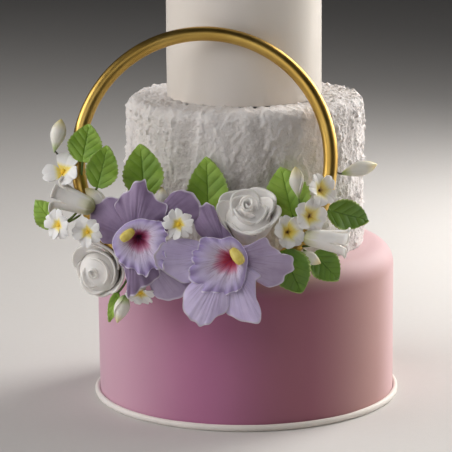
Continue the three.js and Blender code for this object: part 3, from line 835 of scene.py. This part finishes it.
def orchidHub(name):
    dropAll()
    bpy.ops.mesh.primitive_uv_sphere_add(segments=24, ring_count=12, radius=6, location=(0, 0, -5))
    hub = bpy.context.object
    hub.name = name
    editAll()
    bpy.ops.transform.resize(value=(1, 1, 0.6), center_override=(0, 0, -5))
    leaveEdit()
    paint(hub, lilacFinish)
    return hub


for node, flower in orchids.items():
    spot = facing(flower["at"], flower["turn"], flower["lift"])
    parts = [orchidPetal(f"{node}_petal{i}", petal, i + 1) for i, petal in enumerate(flower["petals"])]
    parts.append(orchidHub(node + "_hub"))
    petals = joinPieces(parts, node + "_sugarPetals")
    wireUp(petals, spot, (0, 0, -4), node + "_petals", flower, "lilac_paste")
    lip = orchidLip(node + "_sugarLip", flower)
    placePiece(lip, spot)
    handOver(lip, node + "_lip")
    column = orchidColumn(node + "_sugarColumn", flower)
    placePiece(column, spot)
    handOver(column, node + "_column")
print("orchids done")


# Roses

roses = {  # each petal: turn round the heart, reach, height, half span, roll, droop and slant of the rim
    "rose_right": {
        "at": (2.7, -128, 183), "turn": 0, "lift": 54, "radius": 26, "hoopAngle": 22,
        "spin": 200, "heart": 0.82,
        "petals": [(250, 0.3, 0.74, 80, 0.02, 0, 0), (70, 0.34, 0.72, 85, 0.03, 0, 0),
                   (-118, 0.46, 0.62, 76, 0.07, 0, -0.2), (-20, 0.48, 0.5, 62, 0.1, 0, 0.06),
                   (130, 0.5, 0.64, 75, 0.06, 0, 0), (-92, 0.72, 0.4, 60, 0.17, 0.06, -0.04),
                   (20, 0.7, 0.52, 50, 0.1, 0.02, 0), (100, 0.72, 0.54, 50, 0.1, 0.02, 0),
                   (175, 0.84, 0.46, 46, 0.14, 0.04, 0), (130, 0.92, 0.48, 38, 0.12, 0.04, 0),
                   (50, 0.95, 0.48, 42, 0.12, 0.03, 0), (-10, 0.84, 0.4, 42, 0.16, 0.05, 0),
                   (-60, 0.8, 0.32, 54, 0.02, 0, 0), (-124, 0.8, 0.32, 54, 0.02, 0, 0)]},
    "rose_left": {
        "at": (-123, -121, 137.5), "turn": -22, "lift": 0, "radius": 24, "hoopAngle": -44,
        "spin": 150, "heart": 0.6,
        "petals": [(212, 0.42, 0.56, 80, 0.05, 0, 0), (30, 0.52, 0.55, 100, 0.05, 0, 0),
                   (240, 0.66, 0.36, 66, 0.08, 0.04, 0), (40, 0.78, 0.5, 80, 0.08, 0, 0),
                   (120, 0.82, 0.4, 56, 0.22, 0.08, 0), (55, 1.0, 0.46, 44, 0.1, 0.02, 0),
                   (-20, 0.92, 0.3, 42, 0.08, 0.02, 0), (-84, 0.8, 0.2, 40, 0.06, 0.02, 0),
                   (180, 0.74, 0.2, 40, 0.06, 0.02, 0)]}}

rosePaste = {"thickness": 2.0, "heartTurns": 1.3}


def roseHeart(name, radius, spin, tall):
    foot = -0.75 * radius
    wraps = rosePaste["heartTurns"] * 2 * pi

    def spiral(u, v):
        grow = (v + 1) / 2
        angle = grow * wraps + radians(spin)
        top = radius * (tall - 0.08 * grow + 0.07 * np.sin(angle))
        wide = radius * (0.05 + 0.19 * grow ** 0.8) * (1.2 - 0.45 * u * u) + 0.03 * radius * u ** 8
        return wide * np.cos(angle), wide * np.sin(angle), foot + (top - foot) * u

    def dome(u, v):  # fills the rose up to just below its rims
        angle = pi * v
        wide = radius * np.where(u < 0.4, u / 0.4 * 0.74, 0.74 * np.cos((u - 0.4) / 0.6 * pi / 2))
        rise = np.where(u < 0.4, foot * (1 - u / 0.4), 0.45 * radius * np.sin((u - 0.4) / 0.6 * pi / 2))
        return wide * np.cos(angle), wide * np.sin(angle), rise

    sheet = addSheet(name + "_spiral", 64, 12, spiral)
    soften(sheet, rosePaste["thickness"])
    paint(sheet, roseFinish)
    return [sheet, addShell(name + "_core", 32, 30, dome, roseFinish)]


def rosePetal(name, radius, turn, wide, top, halfSpan, roll, droop, slant):
    foot = -0.75 * radius
    middle = radians(turn)
    span = radians(halfSpan)

    def form(u, v):
        t = u * (1 - (0.4 - 0.2 * wide) * np.abs(v) ** 2.8) * (1 + 0.03 * np.sin(3 * v + middle * 5) * u)
        angle = middle + v * span
        curl = smoothStep(t, 0.6, 1.04) ** 1.5
        out = radius * wide * (0.3 + 0.7 * np.maximum(t, 0) ** 0.42)
        out = out + radius * roll * curl * (1 + 0.3 * np.cos(2.5 * v))
        out = out + 0.09 * radius * v * wide + 0.02 * radius * np.sin(5 * v + middle * 3) * u
        z = foot + (radius * top - foot) * t - radius * droop * smoothStep(t, 0.72, 1.05) ** 2
        z = z + radius * slant * v * u
        return out * np.cos(angle), out * np.sin(angle), z

    petal = addSheet(name, 28, 16, form)
    soften(petal, rosePaste["thickness"])
    paint(petal, roseFinish)
    return petal


for node, flower in roses.items():
    radius = flower["radius"]
    parts = roseHeart(node, radius, flower["spin"], flower["heart"])
    for i, petal in enumerate(flower["petals"]):
        parts.append(rosePetal(f"{node}_petal{i}", radius, *petal))
    spot = facing(flower["at"], flower["turn"], flower["lift"])
    wireUp(joinPieces(parts, node + "_sugarRose"), spot, (0, 0, -0.6 * radius), node, flower, "rose_paste")
print("roses done")


# Small white blossoms

blossomPaste = {"thickness": 0.9}
allRound = (0, 72, 144, 216, 288)  # where the petals stand
threeLeft = (-14, 112, -124)
blossoms = named("at turn lift spin radius hoopAngle notch petalWidth funnel angles deep", {
    "blossom_1": ((-55, -160, 186), -6, 8, 12, 13.5, -12, 1.6, 0.44, 2.4, allRound, False),
    "blossom_2": ((-153, -118, 224.5), -20, 40, 0, 17.5, -84, 0.7, 0.56, 4, threeLeft, False),
    "blossom_3": ((-156, -145, 183), -36, 8, 8, 13.5, -70, 0.9, 0.46, 2.4, allRound, False),
    "blossom_4": ((-131, -151, 178), -20, 8, 30, 13.5, -62, 0.9, 0.46, 2.4, allRound, False),
    "blossom_5": ((-87.5, -147, 123.5), -6, -38, 0, 13, -24, 1.1, 0.44, 2.4, allRound, False),
    "blossom_6": ((65, -126, 207.5), 38, 18, 10, 14.5, 76, 0.3, 0.46, 5.5, allRound, True),
    "blossom_7": ((55, -135, 187), 22, 14, 52, 14.5, 58, 0.5, 0.5, 5.5, allRound, True),
    "blossom_8": ((37, -141, 175), 26, 16, 14, 14.5, 46, 0.4, 0.5, 5.5, allRound, True)})


def blossomPetal(name, flower, finish):
    radius = flower["radius"]
    notch = flower["notch"]

    def form(u, v):
        half = radius * flower["petalWidth"] * np.sin(pi * (0.07 + 0.6 * u ** 0.9)) ** 0.9
        ends = -0.3 * np.abs(v) ** 3 - 0.14 * notch * np.exp(-((v - 0.05) / 0.18) ** 2)
        y = radius * (0.07 + 0.93 * u + ends * u ** 4)
        z = -flower["funnel"] * np.maximum(1 - u, 0) ** 2 - 1.4 * u ** 3
        z = z + 0.09 * radius * v * v * u - 0.5 * np.exp(-(v / 0.12) ** 2) * u
        z = z + 0.3 * u ** 3 * np.sin(5 * v) + 0.3 * v * np.sin(6 * u)
        return v * half, y, z

    petal = addSheet(name, 24, 18, form)
    thicken(petal, blossomPaste["thickness"])
    paint(petal, finish)
    return petal


# on deep throats the brown slit is painted shade at the bottom of the throat
def blossomEye(name, flower):  # a dab of yellow, or a brown slit
    deep = flower["deep"]
    radius = flower["radius"] * (0.09 if deep else 0.14)
    middle = (0, 0, 0.5 - flower["funnel"])
    dropAll()
    bpy.ops.mesh.primitive_ico_sphere_add(subdivisions=3, radius=radius, location=middle)
    eye = bpy.context.object
    eye.name = name
    unevenIcing(eye, 0.9, 0.7)
    editAll()
    bpy.ops.transform.resize(value=(0.5 if deep else 0.85, 1, 0.6), center_override=middle)
    leaveEdit()
    paint(eye, shadedSlitFinish if deep else dabFinish)
    return eye


def blossomCalyx(name, flower):  # green cup behind the petals
    def form(u, v):
        angle = pi * v
        ends = np.minimum(np.minimum(u * 8, 1), (1 - u) * 12)
        wide = flower["radius"] * (0.07 + 0.13 * u ** 1.5) * ends * (1 + 0.1 * np.cos(5 * angle))
        return wide * np.cos(angle), wide * np.sin(angle), 5.5 * u - 5 - flower["funnel"]

    return addShell(name, 20, 16, form, stemFinish)


def openBlossom(node, flower):
    pick = random.Random(len(node) + int(flower["radius"] * 10))
    finish = deepBlossomFinish if flower["deep"] else blossomFinish
    angles = flower["angles"]
    first = blossomPetal(node + "_petal0", flower, finish)
    parts = [first]
    for _ in angles[1:]:
        takeUp(first)
        bpy.ops.object.duplicate()
        parts.append(bpy.context.object)
    for petal, angle in zip(parts, angles):
        petal.rotation_euler = (radians(pick.uniform(-11, 11)), radians(7 + pick.uniform(-4, 4)),
                                radians(angle + flower["spin"] + pick.uniform(-5, 5)))
    dropAll()
    for petal in parts:
        petal.select_set(True)
    bpy.ops.object.transform_apply(location=False, rotation=True, scale=False)
    parts.append(blossomEye(node + "_eye", flower))
    parts.append(blossomCalyx(node + "_calyx", flower))
    return joinPieces(parts, node + "_sugarBlossom")


for node, flower in blossoms.items():
    spot = facing(flower["at"], flower["turn"], flower["lift"])
    wireUp(openBlossom(node, flower), spot, (0, 0, -flower["funnel"] - 3), node, flower, "white_paste")
print("blossoms done")


# Trumpet blooms seen from the side

# bend and fold: how the end of each lobe rolls outwards
trumpets = named("at turn lift tube length hoopAngle spin lobe bend fold flare", {
    "trumpet_left": ((-157, -122, 203.5), -108, 16, 8.6, 18, -62, 28, 21, 3.4, 140, 0.14),
    "trumpet_right": ((85, -137, 163.5), 86, -9, 7.8, 20, 44, 0, 19, 5.5, 72, 0.12)})
trumpetPaste = {"thickness": 1.8, "lobes": 5, "cleft": 0.07}


def trumpetBloom(name, flower):  # fat tube that splits into five broad lobes, rolled outwards
    length = flower["length"]
    bend = flower["bend"]
    fold = radians(flower["fold"])
    rollStart = flower["lobe"] - fold * bend
    front = rollStart + bend * sin(min(fold, pi / 2))

    def form(s, v):
        turned = pi * v + radians(flower["spin"])
        phase = (trumpetPaste["lobes"] * (v + 1) / 2) % 1 - 0.5  # 0 in the middle of a lobe, 0.5 at a cleft
        cleft = np.exp(-((np.abs(phase) - 0.5) / trumpetPaste["cleft"]) ** 2)
        reach = flower["lobe"] * (1 - 5 * phase ** 4) * (1 - 0.9 * cleft)
        run = s * (length + reach)
        along = np.minimum(run, length)
        past = np.maximum(run - length, 0)
        turn = np.clip((past - rollStart) / bend, 0, fold)
        straight = np.minimum(past, rollStart)
        tube = flower["tube"] * np.minimum(along / 4, 1) ** 0.5 * (0.7 + 0.3 * along / length)
        out = tube + flower["flare"] * straight + bend * (1 - np.cos(turn))
        out = out + 0.6 * smoothStep(past, 2, 12) * np.cos(2 * pi * phase)
        z = along - length - front + straight + bend * np.sin(turn)
        return out * np.cos(turned), out * np.sin(turned), z

    bloom = addShell(name, 120, 44, form, trumpetFinish)
    soften(bloom, trumpetPaste["thickness"])
    return bloom


for node, flower in trumpets.items():
    spot = facing(flower["at"], flower["turn"], flower["lift"])
    bloom = trumpetBloom(node + "_sugarTrumpet", flower)
    wireUp(bloom, spot, (0, 0, -flower["length"]), node, flower, "white_paste")
print("trumpets done")


# Closed buds

# fullest: how far from base to tip the bud is thickest
buds = named("base tip radius fullest folds hoopAngle wire", {
    "bud_1": ((-160, -108, 236), (-154, -98, 264), 6.6, 0.6, 0.05, -84, wireFinish),
    "bud_2": ((-112, -122, 190), (-134, -121, 209), 6.2, 0.55, 0.14, -66, stemFinish),
    "bud_3": ((-101, -137, 121), (-108, -139, 97), 6.2, 0.42, 0.24, -30, stemFinish),
    "bud_4": ((-68, -118, 190), (-70, -116, 209), 4.6, 0.5, 0.12, -20, stemFinish),
    "bud_5": ((45, -121, 197), (42, -120, 226), 5.9, 0.62, 0.26, 56, stemFinish),
    "bud_6": ((79, -103, 215.5), (112, -94, 222.5), 6.4, 0.58, 0.06, 84, wireFinish),
    "bud_7": ((44, -134, 156), (63, -134, 146), 5, 0.55, 0.14, 40, stemFinish)})


def closedBud(name, flower, length):
    skew = log(0.5) / log(flower["fullest"])

    def form(u, v):
        angle = pi * v
        wrap = (1.5 * v + 0.7 * u + 0.2) % 1  # three petals, each lapped over the next
        swell = np.maximum(np.sin(pi * u ** skew), 0) ** 0.85
        wide = flower["radius"] * swell * (1 + flower["folds"] * (wrap ** 1.5 - 0.45))
        return wide * np.cos(angle), length * u, wide * np.sin(angle)

    return addShell(name, 84, 36, form, budFinish)


for node, flower in buds.items():
    spot = pointing(flower["base"], flower["tip"], 0)
    length = (Vector(flower["tip"]) - Vector(flower["base"])).length
    bud = closedBud(node + "_sugarBud", flower, length)
    wireUp(bud, spot, (0, 0.1 * length, 0), node, flower, "bud_paste")
print("buds done")


# Leaves

# leaves 7, 8 and 9 take the darker paste, partly painted shade
leaves = named("base tip halfWidth roll hoopAngle finish", {
    "leaf_1": ((-136, -114, 230), (-130, -110, 261), 14.5, 0, -78, greenLeaf),
    "leaf_2": ((-123, -124, 210), (-114, -119, 244), 13.5, 8, -70, greenLeaf),
    "leaf_3": ((-158, -122, 176), (-176, -121, 198), 11, -12, -66, greenLeaf),
    "leaf_4": ((-84, -117, 200), (-87, -112, 244), 17, 4, -40, greenLeaf),
    "leaf_5": ((-31, -113, 184), (-32, -110, 232), 17, 0, -8, greenLeaf),
    "leaf_6": ((40, -111, 181), (30, -110, 222.5), 19.5, -8, 52, greenLeaf),
    "leaf_7": ((70, -98, 184), (107, -84, 171), 13, 4, 72, deepGreenShadedLeaf),
    "leaf_8": ((31, -136, 158), (46, -141, 122), 17.5, 10, 36, deepGreenShadedLeaf),
    "leaf_9": ((57, -123, 152), (79, -124, 129), 13, -6, 46, deepGreenShadedLeaf),
    "leaf_10": ((-108, -131, 122), (-115, -136, 97), 4.5, 0, -34, greenLeaf)})
leafPaste = {"thickness": 1.1, "sideVeins": 4.8, "teeth": 11, "veinDepth": 0.5}


def veinedLeaf(name, length, halfWidth, finish):
    pressed = []

    def form(u, v):
        width = halfWidth * np.maximum(np.sin(pi * (0.95 * u ** 0.85 + 0.05)), 0) ** 0.75
        away = np.abs(v) * width
        run = (u * length - 0.95 * away) / length  # side veins sweep up towards the tip
        tooth = (u * leafPaste["teeth"]) % 1
        width = width * (1 + 0.09 * (tooth - 0.4) * np.abs(v) ** 6)
        phase = (run * leafPaste["sideVeins"] + 0.35 * (v > 0)) % 1 - 0.5
        reach = smoothStep(1 - np.abs(v), 0.0, 0.3) * smoothStep(u, 0.02, 0.15)
        sideVein = np.exp(-(phase / 0.07) ** 2) * reach
        midVein = np.exp(-(v / 0.05) ** 2) * smoothStep(1 - u, 0, 0.1)
        press = np.maximum(sideVein * 0.75, midVein)
        pressed.append(press)
        swell = 0.16 * np.cos(2 * pi * phase + pi) * reach
        z = 0.16 * width * np.abs(v) + 1.3 * v * np.sin(8 * u) - 5 * u * u
        z = z + 0.6 * np.abs(v) ** 3 * np.sin(19 * u + 2 * v)
        return v * width, u * length, z - leafPaste["veinDepth"] * press + swell

    leaf = addSheet(name, 48, 64, form)
    vein = leaf.data.attributes.new("press", "FLOAT", "POINT")
    vein.data.foreach_set("value", pressed[0].astype(np.float32))
    thicken(leaf, leafPaste["thickness"])
    paint(leaf, finish)
    return leaf


for node, sprig in leaves.items():
    spot = pointing(sprig["base"], sprig["tip"], sprig["roll"])
    length = (Vector(sprig["tip"]) - Vector(sprig["base"])).length
    leaf = veinedLeaf(node + "_sugarLeaf", length, sprig["halfWidth"], sprig["finish"])
    wireUp(leaf, spot, (0, 2, 0), node, sprig, "leaf_paste")
print("leaves done")


# Floor, lights and camera

studio = {"floorSize": 14, "floorTone": (206, 203, 200), "worldTone": tone(150, 150, 152),
          "worldPower": 0.03, "lampAim": (0, 0, 0.2)}
lamps = named("at size power tone gloss diffuse", {
    "leftWindow": ((-2.3, -0.3, 1.1), 1.8, 38, (1, 0.985, 0.97), True, True),
    "rightWindow": ((0.9, 0.74, 0.52), 0.5, 9.5, (1, 0.97, 0.94), True, True),
    "rightFill": ((1.5, 0.2, 0.5), 1, 8, (1, 0.97, 0.94), True, True),
    "rightTop": ((0.8, 0.6, 1), 0.7, 11, (1, 0.97, 0.94), True, True),
    "frontFill": ((-0.9, -1.4, 1.5), 1.2, 10, (1, 0.99, 0.98), False, True),
    "topFill": ((-0.25, -0.45, 1.95), 1.3, 4, (1, 0.99, 0.98), False, True),
    "frontCard": ((-1, -2.2, 0.6), 1.8, 16, (1, 1, 1), True, False)})
lookThrough = {"at": (0, -1.989, 0.580), "aim": (-0.0172, 0, 0.1496), "roll": 0.009, "lens": 181.6}

dropAll()
bpy.ops.mesh.primitive_plane_add(size=studio["floorSize"])
floor = bpy.context.object
floor.name = "studioFloor"
paint(floor, plainPaste("floorPaper", studio["floorTone"], studio["floorTone"], 0.8))

world = bpy.data.worlds.new("studioWorld")
world.use_nodes = True
world.node_tree.nodes["Background"].inputs["Color"].default_value = studio["worldTone"]
world.node_tree.nodes["Background"].inputs["Strength"].default_value = studio["worldPower"]
bpy.context.scene.world = world

for name, lamp in lamps.items():
    aimed = (Vector(studio["lampAim"]) - Vector(lamp["at"])).to_track_quat("-Z", "Y").to_euler()
    bpy.ops.object.light_add(type="AREA", location=lamp["at"], rotation=aimed)
    light = bpy.context.object
    light.name = name
    light.data.size = lamp["size"]
    light.data.energy = lamp["power"]
    light.data.color = lamp["tone"]
    light.visible_glossy = lamp["gloss"]
    light.visible_diffuse = lamp["diffuse"]

gaze = (Vector(lookThrough["aim"]) - Vector(lookThrough["at"])).to_track_quat("-Z", "Y").to_matrix()
gaze = gaze @ Matrix.Rotation(-lookThrough["roll"], 3, "Z")
bpy.ops.object.camera_add(location=lookThrough["at"], rotation=gaze.to_euler())
camera = bpy.context.object
camera.data.sensor_width = 36
camera.data.lens = lookThrough["lens"]
bpy.context.scene.camera = camera
bpy.context.scene.view_settings.view_transform = "Standard"
print("studio set")
